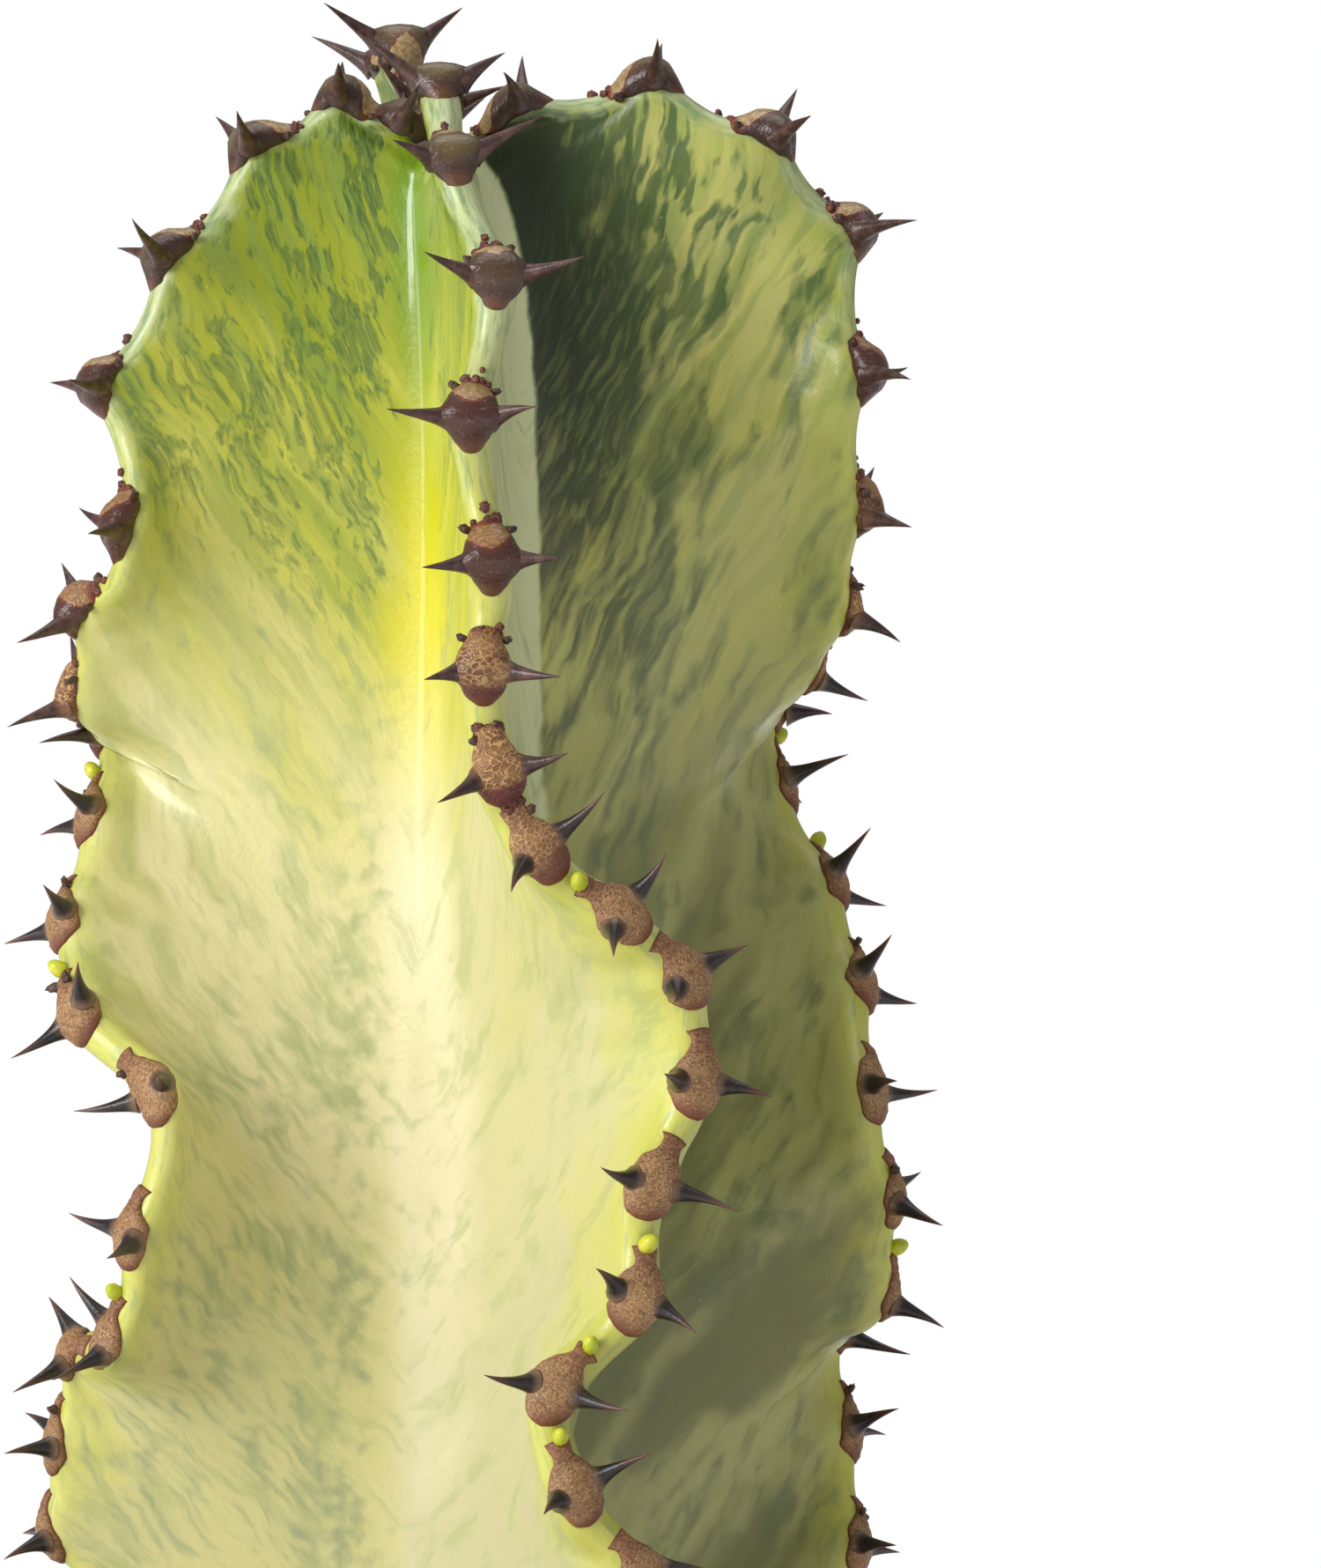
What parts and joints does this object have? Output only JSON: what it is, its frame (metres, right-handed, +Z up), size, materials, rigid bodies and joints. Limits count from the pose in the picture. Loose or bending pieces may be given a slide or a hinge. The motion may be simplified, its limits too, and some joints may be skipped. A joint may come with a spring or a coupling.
{
  "type": "potted cowboy cactus",
  "caption": "Variegated candelabra spurge stem with wavy winged ribs and paired dark spines, standing in gritty soil in a plain clay pot.",
  "frame": {"origin": "middle of the pot's flat underside", "axes": "+Z up along the stem, -Y the side that the picture shows"},
  "size_m": [0.15, 0.15, 0.3837],
  "materials": {
    "clay": "matt unglazed fired clay",
    "soil": "rough, gritty, dry",
    "stem": "waxy living skin, cream and yellow-green with grey-green streaks; brown corky spine shields, dark spines, yellow-green buds"
  },
  "bodies": {
    "root": {"pot": "clay", "soil": "soil", "stem": "stem"}
  },
  "joints": []
}
